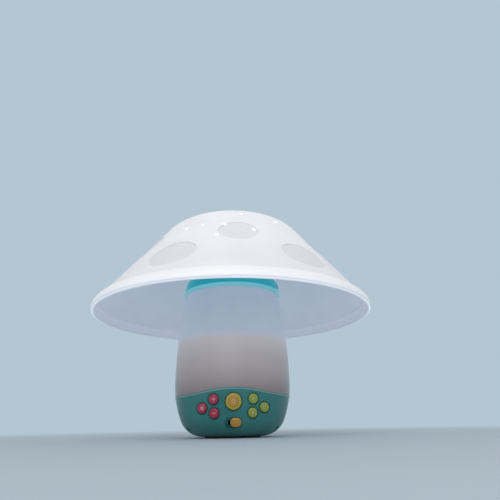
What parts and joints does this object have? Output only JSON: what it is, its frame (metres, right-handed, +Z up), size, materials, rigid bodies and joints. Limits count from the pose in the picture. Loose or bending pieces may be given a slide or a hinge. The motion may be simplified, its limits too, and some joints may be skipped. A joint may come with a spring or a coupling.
{
  "type": "mushroom projector night light",
  "caption": "Mushroom-shaped star projector light with a lift-off white cap, a milky stem and a turquoise base with coloured push buttons and a slide switch.",
  "frame": {"origin": "middle of the footprint, on the surface that the foot ring stands on", "axes": "+Z up along the stem's axis, -Y towards the control panel, +X to the right seen from the front"},
  "size_m": [0.24, 0.24, 0.188],
  "materials": {
    "cap_plastic": "satin moulded polypropylene, white",
    "stem_plastic": "milky translucent moulded plastic",
    "turquoise_plastic": "glossy moulded ABS, turquoise",
    "collar_plastic": "glossy moulded ABS, deep turquoise",
    "pink_plastic": "glossy moulded ABS, pink",
    "yellow_plastic": "glossy moulded ABS, yellow",
    "orange_plastic": "glossy moulded ABS, orange",
    "lime_plastic": "glossy moulded ABS, lime green",
    "white_plastic": "plain moulded ABS, white",
    "clear_plastic": "clear moulded acrylic",
    "liner_plastic": "clear moulded polypropylene, slightly frosted",
    "led_resin": "cast LED resin",
    "foot_rubber": "soft moulded rubber",
    "keypad_silicone": "soft silicone rubber",
    "board_green": "glass-fibre circuit board, green lacquer",
    "switch_black": "moulded nylon, black",
    "screw_steel": "zinc-plated steel",
    "contact_steel": "nickel-plated spring steel",
    "cell_jacket": "plain printed steel can",
    "speaker_paper": "pressed paper cone",
    "magnet_iron": "sintered magnet"
  },
  "bodies": {
    "base": {"collar": "collar_plastic", "stem_shell": "stem_plastic", "base_shell": "turquoise_plastic", "foot_ring": "foot_rubber", "case_screws": "screw_steel", "slide_switch": "switch_black", "main_board": "board_green", "board_screws": "screw_steel", "keypad": "keypad_silicone", "battery_box": "white_plastic", "battery_cells": "cell_jacket", "upper_contacts": "contact_steel", "battery_door": "turquoise_plastic", "door_contacts": "contact_steel", "door_screw": "screw_steel", "speaker_frame": "screw_steel", "speaker_cone": "speaker_paper", "speaker_magnet": "magnet_iron", "reflector": "white_plastic", "lamp_board": "board_green", "lamp_leds": "led_resin", "star_tower": "white_plastic", "tower_screws": "screw_steel", "star_board": "board_green", "star_board_screws": "screw_steel", "star_led": "led_resin", "projector_lens": "clear_plastic"},
    "cap": {"cap": "cap_plastic", "star_liner": "liner_plastic", "cap_spider": "white_plastic", "cap_screws": "screw_steel"},
    "pink_button_top": {"pink_button_top": "pink_plastic"},
    "pink_button_outer": {"pink_button_outer": "pink_plastic"},
    "pink_button_bottom": {"pink_button_bottom": "pink_plastic"},
    "green_button_top": {"green_button_top": "lime_plastic"},
    "green_button_outer": {"green_button_outer": "lime_plastic"},
    "green_button_bottom": {"green_button_bottom": "lime_plastic"},
    "center_button": {"center_button": "yellow_plastic", "center_button_disc": "orange_plastic"},
    "slide_knob": {"slide_knob": "orange_plastic"}
  },
  "joints": [
    {"name": "cap_lift", "type": "slide", "parent": "base", "child": "cap", "axis": [0, 0, 1], "range_m": [0, 0.06]},
    {"name": "pink_button_top_press", "type": "slide", "parent": "base", "child": "pink_button_top", "axis": [0, 1, 0], "range_m": [0, 0.001], "stiffness_N_per_m": 600},
    {"name": "pink_button_outer_press", "type": "slide", "parent": "base", "child": "pink_button_outer", "axis": [0, 1, 0], "range_m": [0, 0.001], "stiffness_N_per_m": 600},
    {"name": "pink_button_bottom_press", "type": "slide", "parent": "base", "child": "pink_button_bottom", "axis": [0, 1, 0], "range_m": [0, 0.001], "stiffness_N_per_m": 600},
    {"name": "green_button_top_press", "type": "slide", "parent": "base", "child": "green_button_top", "axis": [0, 1, 0], "range_m": [0, 0.001], "stiffness_N_per_m": 600},
    {"name": "green_button_outer_press", "type": "slide", "parent": "base", "child": "green_button_outer", "axis": [0, 1, 0], "range_m": [0, 0.001], "stiffness_N_per_m": 600},
    {"name": "green_button_bottom_press", "type": "slide", "parent": "base", "child": "green_button_bottom", "axis": [0, 1, 0], "range_m": [0, 0.001], "stiffness_N_per_m": 600},
    {"name": "center_button_press", "type": "slide", "parent": "base", "child": "center_button", "axis": [0, 1, 0], "range_m": [0, 0.001], "stiffness_N_per_m": 600},
    {"name": "switch_slide", "type": "slide", "parent": "base", "child": "slide_knob", "axis": [1, 0, 0], "range_m": [-0.0035, 0]}
  ]
}
